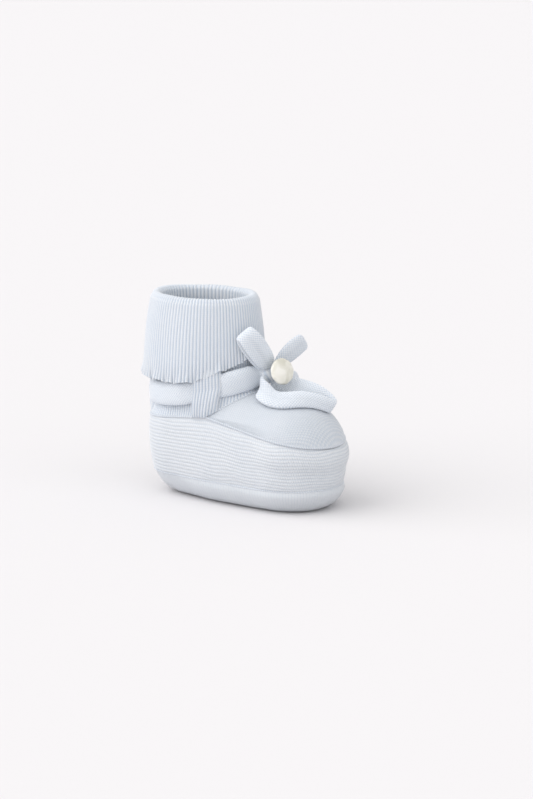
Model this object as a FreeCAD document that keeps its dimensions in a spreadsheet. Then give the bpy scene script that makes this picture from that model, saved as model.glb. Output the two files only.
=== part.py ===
import FreeCAD, Part
import os
import Sketcher

# A knitted baby bootie, in millimetres. +X points to the toe, +Z up, and the origin
# lies under the middle of the sole, on the surface that the bootie stands on.

os.makedirs("parts", exist_ok=True)
doc = FreeCAD.newDocument("Bootie")
V = FreeCAD.Vector
Turn = FreeCAD.Rotation

sheet = doc.addObject("Spreadsheet::Sheet", "Sizes")
SIZES = [
    # foot, seen from above: a heel round and a toe round joined by straight sides
    ("foot_length", 100.0),
    ("heel_radius", 22.0),
    ("toe_radius", 25.0),
    ("fabric", 2.2),
    # sole and side wall
    ("sole_height", 11.0),
    ("sole_curl", 8.0),
    ("heel_height", 35.5),
    ("side_height", 40.0),
    ("toe_height", 29.5),
    ("side_peak", 42.0),
    ("seam_gap", 0.8),
    ("seam_yarn", 0.5),
    # vamp, a dome over the toes
    ("vamp_setback", 60.0),
    ("vamp_half_width", 28.4),
    ("vamp_rise", 21.0),
    ("vamp_base", 30.0),
    ("instep_slope", 34.0),
    # ankle, leg and cuff, all oval tubes round one upright line
    ("ankle_setback", 31.0),
    ("ankle_reach", 24.5),
    ("ankle_half_width", 18.0),
    ("tie_height", 53.5),
    ("leg_setback", 29.5),
    ("leg_reach", 23.0),
    ("leg_half_width", 18.0),
    ("rim_height", 92.5),
    ("cuff_ply_gap", 0.5),
    ("cuff_flare", 3.0),
    ("hem_back", 53.0),
    ("hem_front", 66.0),
    # tie
    ("tape_width", 12.0),
    ("tape_thickness", 1.8),
    ("tape_tilt", 8.0),
    ("tape_clearance", 0.3),
    ("bridge_width", 14.0),
    ("bow_width", 10.0),
    ("knot_reach", 4.6),
    ("knot_half_depth", 3.4),
    ("knot_standoff", 6.94),
    ("upper_loop_length", 20.0),
    ("toe_loop_length", 27.0),
    ("tail_length", 20.0),
    # button on its thread shank
    ("button_radius", 6.0),
    ("button_thickness", 3.0),
    ("shank_gap", 4.3),
    ("thread_radius", 0.4),
    ("shank_clearance", 0.2),
]
for row, (alias, value) in enumerate(SIZES, start=1):
    sheet.set("A%d" % row, alias)
    sheet.set("B%d" % row, str(value))
    sheet.setAlias("B%d" % row, alias)
doc.recompute()


def size(alias):
    return float(sheet.get(alias))


def bind(thing, **expressions):
    """Ties each named property to an expression of the sheet's values."""
    for path, expression in expressions.items():
        words = expression.replace("$", "Sizes.")
        thing.setExpression(path.replace("_at_", "."), words)


def seat(thing, x="0", y="0", z="0", rotation=None):
    """Places an object: its position follows the sheet, and its turn is fixed."""
    thing.Placement = FreeCAD.Placement(V(0, 0, 0), rotation or Turn())
    bind(thing, Placement_at_Base_at_x=x, Placement_at_Base_at_y=y, Placement_at_Base_at_z=z)


def plane_of(body, role):
    return [f for f in body.Origin.OriginFeatures if f.Role == role][0]


# ---------------------------------------------------------------- foot outlines

HEEL_X = "(-$foot_length / 2 + $heel_radius)"
TOE_X = "($foot_length / 2 - $toe_radius)"


def foot_outline(body, name, height, inset):
    """A sketch of the foot's outline at a height, drawn in by inset all round."""
    sketch = body.newObject("Sketcher::SketchObject", name)
    sketch.AttachmentSupport = [(plane_of(body, "XY_Plane"), "")]
    sketch.MapMode = "FlatFace"
    heel_x = -size("foot_length") / 2 + size("heel_radius")
    toe_x = size("foot_length") / 2 - size("toe_radius")
    heel_r = size("heel_radius") - 1
    toe_r = size("toe_radius") - 1
    lean = (toe_r - heel_r) / (toe_x - heel_x)
    rise = (1 - lean * lean) ** 0.5
    up = V(-lean, rise, 0)
    down = V(-lean, -rise, 0)
    heel = V(heel_x, 0, 0)
    toe = V(toe_x, 0, 0)
    top = [heel + up * heel_r, toe + up * toe_r]
    low = [heel + down * heel_r, toe + down * toe_r]
    heel_arc = Part.Arc(top[0], heel + V(-heel_r, 0, 0), low[0])
    toe_arc = Part.Arc(low[1], toe + V(toe_r, 0, 0), top[1])
    sketch.addGeometry([heel_arc, Part.LineSegment(low[0], low[1]), toe_arc,
                        Part.LineSegment(top[1], top[0])])
    for one, one_end, other, other_end in ((0, 2, 1, 1), (1, 2, 2, 1), (2, 2, 3, 1), (3, 2, 0, 1)):
        sketch.addConstraint(Sketcher.Constraint("Tangent", one, one_end, other, other_end))
    sketch.addConstraint(Sketcher.Constraint("PointOnObject", 0, 3, -1))
    sketch.addConstraint(Sketcher.Constraint("PointOnObject", 2, 3, -1))
    named = (
        ("heel_at", "DistanceX", (-1, 1, 0, 3), heel_x, HEEL_X),
        ("toe_at", "DistanceX", (-1, 1, 2, 3), toe_x, TOE_X),
        ("heel_round", "Radius", (0,), heel_r, "$heel_radius - (%s)" % inset),
        ("toe_round", "Radius", (2,), toe_r, "$toe_radius - (%s)" % inset),
    )
    for word, kind, where, start, expression in named:
        index = sketch.addConstraint(Sketcher.Constraint(kind, *where, start))
        sketch.renameConstraint(index, word)
        bind(sketch, **{"Constraints_at_" + word: expression})
    bind(sketch, AttachmentOffset_at_Base_at_z=height)
    return sketch


def foot_loft(name, outer, inner):
    """A body lofted through outer outlines, with the loft of the inner ones taken out."""
    body = doc.addObject("PartDesign::Body", name)
    for kind, levels in (("AdditiveLoft", outer), ("SubtractiveLoft", inner)):
        sketches = [foot_outline(body, "%s_%s_%d" % (name, kind, i), z, inset)
                    for i, (z, inset) in enumerate(levels)]
        loft = body.newObject("PartDesign::" + kind, "%s_%s" % (name, kind))
        loft.Profile = sketches[0]
        loft.Sections = sketches[1:]
        doc.recompute()
    return body


WALL = "$fabric + "
sole = foot_loft(
    "sole",
    [("0", "$sole_curl"), ("$sole_height * 0.25", "$sole_curl * 0.38"),
     ("$sole_height * 0.6", "$sole_curl * 0.1"), ("$sole_height - $seam_gap / 2", "0.5")],
    [("$fabric", WALL + "$sole_curl * 0.5"), ("$sole_height * 0.6", WALL + "$sole_curl * 0.16"),
     ("$sole_height", WALL + "0.5")],
)


def wall_levels(extra, low="$sole_height + $seam_gap / 2"):
    """The side wall's bulge: widest at mid height, drawn in a little at both seams."""
    return [(low, extra + "0.5"), ("$side_height * 0.5", extra + "0"),
            ("$side_height * 0.8", extra + "0.4"), ("$side_height + 2", extra + "1.6")]


whole_wall = foot_loft("whole_wall", wall_levels(""), wall_levels(WALL))


# ------------------------------------------------- regions, seen from the side
# The panels meet along one bent line: it rises from the heel to the peak beside the
# ankle, falls to the toe, and a second line climbs from the peak up the instep.

PEAK_X = "(-$foot_length / 2 + $side_peak)"
FAR = "($foot_length * 0.7)"
BACK_Z = "($heel_height - ($side_height - $heel_height) / $side_peak * $foot_length * 0.2)"
FRONT_DROP = "(($side_height - $toe_height) / ($foot_length - $side_peak))"
FRONT_Z = "($side_height - " + FRONT_DROP + " * (" + FAR + " + $foot_length / 2 - $side_peak))"
INSTEP_Z = "($side_height + tan($instep_slope * 1 deg) * (" + FAR + " + $foot_length / 2 - $side_peak))"
HIGH = "($rim_height * 1.5)"


def side_region(name, corners):
    """A slab as wide as the bootie whose side view is the polygon of the corners."""
    sketch = doc.addObject("Sketcher::SketchObject", name + "_outline")
    sketch.Placement = FreeCAD.Placement(V(0, 0, 0), Turn(V(1, 0, 0), 90))
    count = len(corners)
    starts = [V(10 * corner[2][0], 10 * corner[2][1], 0) for corner in corners]
    sketch.addGeometry([Part.LineSegment(starts[i], starts[(i + 1) % count]) for i in range(count)])
    for i in range(count):
        sketch.addConstraint(Sketcher.Constraint("Coincident", i, 2, (i + 1) % count, 1))
    for i, (x, z, guess) in enumerate(corners):
        for word, kind, start, expression in (("x%dat" % i, "DistanceX", 10.0 * guess[0], x),
                                              ("z%dat" % i, "DistanceY", 10.0 * guess[1], z)):
            index = sketch.addConstraint(Sketcher.Constraint(kind, -1, 1, i, 1, start))
            sketch.renameConstraint(index, word)
            bind(sketch, **{"Constraints_at_" + word: expression})
    slab = doc.addObject("Part::Extrusion", name)
    slab.Base = sketch
    slab.DirMode = "Normal"
    slab.Symmetric = True
    slab.Solid = True
    bind(slab, LengthFwd="$foot_length")
    return slab


HALF = " $seam_gap / 2"
below_line = side_region("below_line", [
    ("-" + FAR, "1", (-7, 0.1)),
    (FAR, "1", (7, 0.1)),
    (FAR, FRONT_Z + " -" + HALF, (7, 2.5)),
    (PEAK_X, "$side_height -" + HALF, (-0.8, 4)),
    ("-" + FAR, BACK_Z + " -" + HALF, (-7, 3)),
])
over_toe = side_region("over_toe", [
    (PEAK_X + " + $seam_gap", "$side_height +" + HALF, (-0.7, 4)),
    (FAR, FRONT_Z + " +" + HALF, (7, 2.5)),
    (FAR, INSTEP_Z + " -" + HALF, (7, 9)),
])
over_heel = side_region("over_heel", [
    ("-" + FAR, BACK_Z + " +" + HALF, (-7, 3)),
    (PEAK_X, "$side_height + $seam_gap", (-0.8, 4.1)),
    (FAR, INSTEP_Z + " + $seam_gap", (7, 9.2)),
    (FAR, HIGH, (7, 14)),
    ("-" + FAR, HIGH, (-7, 14)),
])


def join(kind, name, base, tool):
    """A boolean of two objects: Cut, Fuse or Common."""
    made = doc.addObject("Part::" + kind, name)
    made.Base = base
    made.Tool = tool
    return made


def block(name, length, width, height, x, y, z, rotation=None):
    made = doc.addObject("Part::Box", name)
    bind(made, Length=length, Width=width, Height=height)
    seat(made, x, y, z, rotation)
    return made


wall_band = join("Common", "wall_band", whole_wall, below_line)
heel_slot = block("heel_slot", "$heel_radius", "$seam_gap", "$rim_height",
                  "-$foot_length / 2 - 1", "-$seam_gap / 2", "0")
side_wall = join("Cut", "side_wall", wall_band, heel_slot)

# ---------------------------------------------------------------------- vamp

VAMP_X = "(-$foot_length / 2 + $vamp_setback)"


def dome(name, inset):
    """The toe dome: an ellipsoid whose front just reaches the toe, drawn in by inset."""
    made = doc.addObject("Part::Ellipsoid", name)
    made.Angle1 = -90
    bind(made, Radius2="$foot_length - $vamp_setback - 0.5 - (%s)" % inset,
         Radius3="$vamp_half_width - (%s)" % inset, Radius1="$vamp_rise - (%s)" % inset)
    seat(made, VAMP_X, "0", "$vamp_base")
    return made


def foot_prism(name, inset):
    """An upright prism of the foot's outline, to trim the dome to the side wall."""
    body = doc.addObject("PartDesign::Body", name)
    outline = foot_outline(body, name + "_outline", "0", inset)
    pad = body.newObject("PartDesign::Pad", name + "_pad")
    pad.Profile = outline
    bind(pad, Length="$rim_height")
    return body


dome_outer = join("Common", "dome_outer", dome("dome_whole", "0"), foot_prism("vamp_trim", "0.6"))
dome_inner = join("Common", "dome_inner", dome("dome_hollow", "$fabric"),
                  foot_prism("vamp_hollow", WALL + "0.6"))
dome_shell = join("Cut", "dome_shell", dome_outer, dome_inner)
vamp = join("Common", "vamp", dome_shell, over_toe)


# ------------------------------------------------------- ankle, leg and cuff

def oval_loft(name, levels):
    """A solid lofted through level ovals: (height, centre, reach along X, half width)."""
    ovals = []
    for i, (z, x, reach, half_width) in enumerate(levels):
        oval = doc.addObject("Part::Ellipse", "%s_oval_%d" % (name, i))
        bind(oval, MajorRadius=reach, MinorRadius=half_width)
        seat(oval, x, "0", z)
        ovals.append(oval)
    loft = doc.addObject("Part::Loft", name)
    loft.Sections = ovals
    loft.Solid = True
    return loft


ANKLE_X = "(-$foot_length / 2 + $ankle_setback)"
LEG_X = "(-$foot_length / 2 + $leg_setback)"


def ankle_levels(offset):
    """The ankle's tube, widest at the foot and drawn in at the tie, moved out by offset."""
    return [
        ("$heel_height - 6", ANKLE_X + " + 0.5", "$ankle_reach + 5.2 + " + offset,
         "$ankle_half_width + 4.2 + " + offset),
        ("$side_height + 3", ANKLE_X + " + 0.5", "$ankle_reach + 2.2 + " + offset,
         "$ankle_half_width + 2.2 + " + offset),
        ("$tie_height", ANKLE_X, "$ankle_reach + " + offset, "$ankle_half_width + " + offset),
        ("$hem_front + 0.4", LEG_X + " + 1", "$leg_reach + 2.2 + " + offset,
         "$leg_half_width + 1.4 + " + offset),
    ]


def tie_slab(name, height):
    """A tilted slab across the ankle at the tie: it rises towards the front."""
    made = doc.addObject("Part::Box", name)
    bind(made, Length="$foot_length * 2", Width="$foot_length * 2", Height=height)
    turn = Turn(V(0, 1, 0), -size("tape_tilt"))
    middle = V(size("foot_length"), size("foot_length"), 0)
    drop = turn.multVec(middle)
    rise = "cos($tape_tilt * 1 deg) * (%s) / 2" % height
    seat(made, ANKLE_X + " - %.6f + sin($tape_tilt * 1 deg) * (%s) / 2" % (drop.x, height),
         "-$foot_length", "$tie_height - %.6f - %s" % (drop.z, rise), turn)
    return made


def ring(name, outer, inner):
    """The ankle's skin between two offsets from its outer face."""
    return join("Cut", name, oval_loft(name + "_out", ankle_levels(outer)),
                oval_loft(name + "_in", ankle_levels(inner)))


tube = ring("ankle_tube", "0", "(-$fabric)")
BRIDGE_OUT = "($tape_thickness + 2 * $tape_clearance + $fabric * 0.5)"
bridge_skin = ring("bridge_skin", BRIDGE_OUT, "(-0.2)")
bridge_band = join("Common", "bridge_band", bridge_skin, tie_slab("bridge_slab", "$tape_width + 4"))
back_bridge = block("back_bridge", "$ankle_reach", "$bridge_width", "$rim_height",
                    "-$foot_length / 2 - 5", "-$bridge_width / 2", "0")
side_bridges = block("side_bridges", "$bridge_width", "$foot_length", "$rim_height",
                     PEAK_X + " - $bridge_width * 0.6", "-$foot_length / 2", "0")
bridges = join("Common", "bridges", bridge_band, join("Fuse", "bridge_cutter", back_bridge, side_bridges))
slotted = join("Fuse", "slotted", tube, bridges)
channel_ring = ring("channel_ring", "($tape_thickness + 2 * $tape_clearance)", "0")
channel = join("Common", "channel", channel_ring,
               tie_slab("channel_slab", "$tape_width + 2 * $tape_clearance"))
ankle_whole = join("Cut", "ankle_whole", slotted, channel)
ankle_band = join("Common", "ankle_band", ankle_whole, over_heel)


def leg_levels(offset, low, high):
    return [
        (low, LEG_X + " + 1", "$leg_reach + 2.2 + " + offset, "$leg_half_width + 1.4 + " + offset),
        ("$hem_front + 12", LEG_X + " + 0.3", "$leg_reach + 0.6 + " + offset,
         "$leg_half_width + 0.4 + " + offset),
        (high, LEG_X, "$leg_reach + " + offset, "$leg_half_width + " + offset),
    ]


LEG_TOP = "$rim_height - $fabric - 0.2"
leg_tube = join("Cut", "leg_tube",
                oval_loft("leg_out", leg_levels("0", "$hem_front + 0.8", LEG_TOP)),
                oval_loft("leg_in", leg_levels("(-$fabric)", "$hem_front + 0.8", LEG_TOP)))


def cuff_levels(offset, low, high):
    """The turned-down cuff: it hangs from the rim and flares over the ankle."""
    return [
        (low, LEG_X + " + 0.5", "$leg_reach + $cuff_flare * 1.45 + " + offset,
         "$leg_half_width + $cuff_flare * 1.4 + " + offset),
        ("$hem_front", LEG_X + " + 0.5", "$leg_reach + $cuff_flare * 1.3 + " + offset,
         "$leg_half_width + $cuff_flare * 1.25 + " + offset),
        ("$hem_front * 0.4 + $rim_height * 0.6", LEG_X, "$leg_reach + $cuff_flare * 0.55 + " + offset,
         "$leg_half_width + $cuff_flare * 0.5 + " + offset),
        (high, LEG_X, "$leg_reach + " + offset, "$leg_half_width + " + offset),
    ]


CUFF_OUT = "($fabric + $cuff_ply_gap)"
cuff_skirt = join("Cut", "cuff_skirt",
                  oval_loft("cuff_out", cuff_levels(CUFF_OUT, "$hem_back - 4", "$rim_height")),
                  oval_loft("cuff_in", cuff_levels("$cuff_ply_gap", "$hem_back - 4", LEG_TOP)))
mouth = oval_loft("mouth", [("$hem_back", LEG_X, "$leg_reach - $fabric", "$leg_half_width - $fabric"),
                            ("$rim_height + 2", LEG_X, "$leg_reach - $fabric", "$leg_half_width - $fabric")])
cuff_open = join("Cut", "cuff_open", cuff_skirt, mouth)
above_hem = side_region("above_hem", [
    ("-" + FAR, "$hem_back", (-7, 5.3)),
    (PEAK_X + " - 8", "$hem_back + 1", (-1.6, 5.4)),
    (PEAK_X + " + 15", "$hem_front", (0.7, 6.6)),
    (FAR, "$hem_front", (7, 6.6)),
    (FAR, HIGH, (7, 14)),
    ("-" + FAR, HIGH, (-7, 14)),
])
cuff = join("Common", "cuff", cuff_open, above_hem)

# ---------------------------------------------------------------- seam yarns
# Each yarn lies in the gap that its seam leaves between two panels.

YARN_LOW = "($seam_gap - $seam_yarn) / 2"
yarn_skin = foot_loft("yarn_skin", wall_levels("0.1 + ", "$sole_height - $seam_gap / 2"),
                      wall_levels("0.9 + ", "$sole_height - $seam_gap / 2"))


def level_slab(name, z, height):
    return block(name, "$foot_length * 2", "$foot_length * 2", height, "-$foot_length", "-$foot_length", z)


sole_seam = join("Common", "sole_seam", yarn_skin,
                 level_slab("sole_seam_slab", "$sole_height - $seam_yarn / 2", "$seam_yarn"))
yarn_low = " + " + YARN_LOW + " - $seam_gap / 2"
yarn_high = " - " + YARN_LOW + " + $seam_gap / 2"
toe_line = side_region("toe_line", [
    (PEAK_X + " + $seam_gap", "$side_height" + yarn_low, (-0.7, 3.9)),
    (FAR, FRONT_Z + yarn_low, (7, 2.4)),
    (FAR, FRONT_Z + yarn_high, (7, 2.6)),
    (PEAK_X + " + $seam_gap", "$side_height" + yarn_high, (-0.7, 4.1)),
])
vamp_seam = join("Common", "vamp_seam", yarn_skin, toe_line)
heel_stitch = block("heel_stitch", "$heel_radius", "$seam_yarn",
                    "$heel_height - $sole_height - $seam_gap * 1.5",
                    "-$foot_length / 2 - 1", "-$seam_yarn / 2", "$sole_height + $seam_gap / 2")
heel_seam = join("Common", "heel_seam", yarn_skin, heel_stitch)
ankle_skin = ring("ankle_skin", "(-0.1)", "(-0.9)")
ankle_line = side_region("ankle_line", [
    ("-" + FAR, BACK_Z + yarn_low, (-7, 3)),
    (PEAK_X, "$side_height - 0.1", (-0.8, 3.9)),
    (FAR, INSTEP_Z + " - 0.1", (7, 8.9)),
    (FAR, INSTEP_Z + " + $seam_yarn", (7, 9.1)),
    (PEAK_X, "$side_height + $seam_yarn", (-0.8, 4.2)),
    ("-" + FAR, BACK_Z + yarn_high, (-7, 3.2)),
])
ankle_seam = join("Common", "ankle_seam", ankle_skin, ankle_line)

# ------------------------------------------------------------- tie and bow
# The bow's pieces are set out from the knot. OUT is the way the knot faces.

OUT = V(0.90, -0.36, 0.25).normalize()
KNOT = {
    "x": ANKLE_X + " + $ankle_reach + $knot_standoff",
    "y": "0.7",
    "z": "$tie_height + 5.2",
}


def facing(along, out):
    """The turn that takes X to along and Z as near as it can to out."""
    return Turn(along, V(0, 0, 0), out, "XZY")


def from_knot(thing, step, rotation):
    """Seats an object a step away from the knot's centre."""
    seat(thing, KNOT["x"] + " + %.9f" % step.x, KNOT["y"] + " + %.9f" % step.y,
         KNOT["z"] + " + %.9f" % step.z, rotation)


UP_IN_BOW = V(-0.232, 0.093, 0.968)


def knot_shape(name, extra):
    made = doc.addObject("Part::Ellipsoid", name)
    made.Angle1 = -90
    bind(made, Radius1="$knot_half_depth + " + extra, Radius2="$knot_reach * 0.85 + " + extra,
         Radius3="$knot_reach + " + extra)
    from_knot(made, V(0, 0, 0), facing(UP_IN_BOW, OUT))
    return made


PIVOT = OUT * (size("knot_half_depth") - 0.6)


def ball(name, radius):
    made = doc.addObject("Part::Sphere", name)
    bind(made, Radius=radius)
    from_knot(made, PIVOT, None)
    return made


bow_knot = join("Cut", "bow_knot", knot_shape("knot_whole", "0"), ball("knot_socket", "1.2 + $shank_clearance"))

tape_ring = ring("tape_ring", "($tape_clearance + $tape_thickness)", "$tape_clearance")
tape_band = join("Common", "tape_band", tape_ring, tie_slab("tape_slab", "$tape_width"))
ankle_tape = join("Cut", "ankle_tape", tape_band, knot_shape("knot_room", "0.15"))


def slot_sketch(body, name, root, tip, length, plane="XZ_Plane"):
    """A long outline with a round root end and a round tip end, along local X."""
    sketch = body.newObject("Sketcher::SketchObject", name)
    sketch.AttachmentSupport = [(plane_of(body, plane), "")]
    sketch.MapMode = "FlatFace"
    root_r, tip_r, reach = 2.0, 3.0, 15.0
    lean = (tip_r - root_r) / reach
    rise = (1 - lean * lean) ** 0.5
    ends = [V(-lean, rise, 0), V(-lean, -rise, 0)]
    far = V(reach, 0, 0)
    sketch.addGeometry([
        Part.Arc(ends[0] * root_r, V(-root_r, 0, 0), ends[1] * root_r),
        Part.LineSegment(ends[1] * root_r, far + ends[1] * tip_r),
        Part.Arc(far + ends[1] * tip_r, far + V(tip_r, 0, 0), far + ends[0] * tip_r),
        Part.LineSegment(far + ends[0] * tip_r, ends[0] * root_r),
    ])
    for one, one_end, other, other_end in ((0, 2, 1, 1), (1, 2, 2, 1), (2, 2, 3, 1), (3, 2, 0, 1)):
        sketch.addConstraint(Sketcher.Constraint("Tangent", one, one_end, other, other_end))
    sketch.addConstraint(Sketcher.Constraint("Coincident", 0, 3, -1, 1))
    sketch.addConstraint(Sketcher.Constraint("PointOnObject", 2, 3, -1))
    named = (("reach", "DistanceX", (-1, 1, 2, 3), reach, length),
             ("root_round", "Radius", (0,), root_r, root),
             ("tip_round", "Radius", (2,), tip_r, tip))
    for word, kind, where, start, expression in named:
        index = sketch.addConstraint(Sketcher.Constraint(kind, *where, start))
        sketch.renameConstraint(index, word)
        bind(sketch, **{"Constraints_at_" + word: expression})
    return sketch


def slot_pad(body, name, kind, sketch, thickness):
    """Pads or pockets a sketch by the same amount on both sides of its plane."""
    made = body.newObject("PartDesign::" + kind, name)
    made.Profile = sketch
    made.Midplane = True
    bind(made, Length=thickness)
    return made


# upper loop: a flat teardrop of tape, seen from its edge, as wide as the tape
UPPER_WAY = V(-0.128, -0.427, 0.894)
UPPER_OUT = V(0.94, -0.34, 0.0)
loop_upper = doc.addObject("PartDesign::Body", "loop_upper")
slot_pad(loop_upper, "upper_band", "Pad",
         slot_sketch(loop_upper, "upper_outside", "2.3", "3.4", "$upper_loop_length - 5.7"),
         "$bow_width")
doc.recompute()
slot_pad(loop_upper, "upper_eye", "Pocket",
         slot_sketch(loop_upper, "upper_inside", "2.3 - $tape_thickness", "3.4 - $tape_thickness",
                     "$upper_loop_length - 5.7"),
         "$bow_width + 2")
from_knot(loop_upper, UPPER_WAY * 8.9 + UPPER_OUT * 1.6, facing(UPPER_WAY, UPPER_OUT))

# toe loop: two runs of tape side by side that meet at the tip, lying on the vamp
TOE_WAY = V(0.90, 0.30, -0.31).normalize()
TOE_OUT = V(0.36, -0.14, 0.92)
toe_pad = doc.addObject("PartDesign::Body", "toe_pad")
slot_pad(toe_pad, "toe_runs", "Pad",
         slot_sketch(toe_pad, "toe_outline", "$bow_width * 0.72", "$bow_width * 0.3",
                     "$toe_loop_length - $bow_width * 0.3", "XY_Plane"),
         "$tape_thickness * 1.7")
from_knot(toe_pad, V(6.2, -2.8, -4.1), facing(TOE_WAY, TOE_OUT))
button_room = doc.addObject("Part::Cylinder", "button_room")
bind(button_room, Radius="$button_radius * 1.55", Height="$button_radius * 4")
from_knot(button_room, OUT * -12, facing(UP_IN_BOW, OUT))
loop_toe = join("Cut", "loop_toe", toe_pad, button_room)


def tail(name, way, out, start):
    """A free end of the tie: a flat stub of tape with a rounded end."""
    body = doc.addObject("PartDesign::Body", name)
    slot_pad(body, name + "_stub", "Pad",
             slot_sketch(body, name + "_outline", "$bow_width * 0.3", "$bow_width * 0.45",
                         "$tail_length - $bow_width * 0.75", "XY_Plane"),
             "$tape_thickness")
    from_knot(body, start, facing(way, out))
    return body


TAIL_UP_WAY = V(0.40, 0.62, 0.68).normalize()
TAIL_FAR_WAY = V(0.10, 0.93, -0.30).normalize()
tail_up = tail("tail_up", TAIL_UP_WAY, V(0.84, -0.50, -0.05), TAIL_UP_WAY * 8.0 + OUT * -1.4)
tail_far = tail("tail_far", TAIL_FAR_WAY, V(0.88, 0.0, 0.47), TAIL_FAR_WAY * 8.2 + OUT * -0.6)

# ------------------------------------------------------------------- button

BUTTON_BACK = OUT * (size("knot_half_depth") + size("shank_gap"))


def on_button(thing):
    """Seats a part of the button with its base on the button's back."""
    from_knot(thing, BUTTON_BACK, facing(UP_IN_BOW, OUT))
    return thing


def button_cone(name, back_radius, front_radius):
    """A cone as high as the disc is thick, whose side trims one edge of the disc."""
    made = doc.addObject("Part::Cone", name)
    bind(made, Radius1="$button_radius * " + back_radius, Radius2="$button_radius * " + front_radius,
         Height="$button_thickness")
    return on_button(made)


blank = doc.addObject("Part::Cylinder", "button_blank")
bind(blank, Radius="$button_radius", Height="$button_thickness")
on_button(blank)
bevelled = join("Common", "button_bevelled", blank, button_cone("button_bevel", "0.86", "1.17"))
button_disc = join("Common", "button_disc", bevelled, button_cone("button_crown", "1.52", "0.72"))

# the shank eye stands on the button's back, and the thread loop passes through it
EYE_AT = OUT * (size("knot_half_depth") + size("shank_gap") - 1.3)
shank_eye = doc.addObject("Part::Torus", "shank_eye")
bind(shank_eye, Radius1="1.35", Radius2="0.5")
from_knot(shank_eye, EYE_AT, facing(OUT, UP_IN_BOW))
button = join("Fuse", "button", button_disc, shank_eye)

THREAD_MIDDLE = PIVOT + OUT * 2.1
thread_ring = doc.addObject("Part::Torus", "thread_ring")
bind(thread_ring, Radius1="1.3", Radius2="$thread_radius")
ACROSS = OUT.cross(UP_IN_BOW)
from_knot(thread_ring, THREAD_MIDDLE, facing(OUT, ACROSS))
button_thread = join("Fuse", "button_thread", thread_ring, ball("thread_bead", "1.2"))

# ------------------------------------------------------------- check and write

NODES = {
    "sole": sole, "side_wall": side_wall, "vamp": vamp, "ankle_band": ankle_band,
    "leg_tube": leg_tube, "cuff": cuff, "sole_seam": sole_seam, "vamp_seam": vamp_seam,
    "ankle_seam": ankle_seam, "heel_seam": heel_seam, "ankle_tape": ankle_tape,
    "bow_knot": bow_knot, "loop_upper": loop_upper, "loop_toe": loop_toe,
    "tail_up": tail_up, "tail_far": tail_far, "button": button,
    "button_thread": button_thread,
}
doc.recompute()
broken = [thing.Label for thing in doc.Objects if "Invalid" in thing.State or "Error" in thing.State]
if broken:
    raise RuntimeError("objects that failed: " + ", ".join(broken))
for node, thing in NODES.items():
    if thing.Label != node:
        for other in doc.Objects:
            if other.Label == node:
                other.Label = node + "_blank"
        thing.Label = node
    shape = thing.Shape
    if shape.isNull() or not shape.isValid() or not shape.Solids:
        raise RuntimeError("no sound solid in " + node)
    print("%-14s solids %d volume %9.2f" % (node, len(shape.Solids), shape.Volume))
for node, thing in NODES.items():
    thing.Shape.exportStep("parts/%s.step" % thing.Label)
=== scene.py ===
import bpy
import numpy as np
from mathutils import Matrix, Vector


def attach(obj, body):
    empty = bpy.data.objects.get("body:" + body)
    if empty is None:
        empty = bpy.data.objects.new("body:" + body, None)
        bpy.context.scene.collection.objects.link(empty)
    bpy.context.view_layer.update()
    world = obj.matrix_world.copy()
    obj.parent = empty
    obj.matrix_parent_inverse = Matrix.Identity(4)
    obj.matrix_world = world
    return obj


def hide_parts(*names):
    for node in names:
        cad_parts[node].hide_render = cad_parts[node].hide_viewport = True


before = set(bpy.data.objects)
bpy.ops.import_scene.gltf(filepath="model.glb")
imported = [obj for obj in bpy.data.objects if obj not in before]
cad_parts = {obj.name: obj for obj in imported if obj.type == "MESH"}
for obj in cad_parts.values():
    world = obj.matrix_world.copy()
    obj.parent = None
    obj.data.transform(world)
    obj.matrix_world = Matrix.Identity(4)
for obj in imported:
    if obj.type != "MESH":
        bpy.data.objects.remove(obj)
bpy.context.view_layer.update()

# ---------------------------------------------------------------- table, light and camera
# The bootie stands on a wide pale table in broad soft light, seen from the side of its bow.

table_mesh = bpy.data.meshes.new("table")
table_mesh.from_pydata([(-14, -14, 0), (14, -14, 0), (14, 14, 0), (-14, 14, 0)], [], [(0, 1, 2, 3)])
table = bpy.data.objects.new("table", table_mesh)
bpy.context.scene.collection.objects.link(table)
paper = bpy.data.materials.new("paper")
paper.use_nodes = True
paper_face = paper.node_tree.nodes["Principled BSDF"]
paper_face.inputs["Base Color"].default_value = (0.738, 0.727, 0.739, 1)
paper_face.inputs["Roughness"].default_value = 1.0
paper_face.inputs["Specular IOR Level"].default_value = 0.0
table_mesh.materials.append(paper)

for lamp_name, place, strength, spread, tint in (
    ("key", (-1.35, -1.25, 1.35), 1.9, 70, (1.0, 0.985, 0.975)),
    ("fill", (1.6, -1.3, 0.9), 0.95, 100, (1.0, 0.995, 0.985)),
    ("top", (0.1, 0.3, 2.0), 0.6, 130, (1.0, 1.0, 1.0)),
):
    lamp_data = bpy.data.lights.new(lamp_name, "SUN")
    lamp_data.energy = strength
    lamp_data.angle = np.radians(spread)
    lamp_data.color = tint
    lamp = bpy.data.objects.new(lamp_name, lamp_data)
    lamp.location = place
    lamp.rotation_euler = Vector(place).to_track_quat("Z", "Y").to_euler()
    bpy.context.scene.collection.objects.link(lamp)

world = bpy.data.worlds.new("studio")
bpy.context.scene.world = world
world.use_nodes = True
world.node_tree.nodes["Background"].inputs["Color"].default_value = (1.0, 0.995, 0.995, 1)
world.node_tree.nodes["Background"].inputs["Strength"].default_value = 0.60

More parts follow.
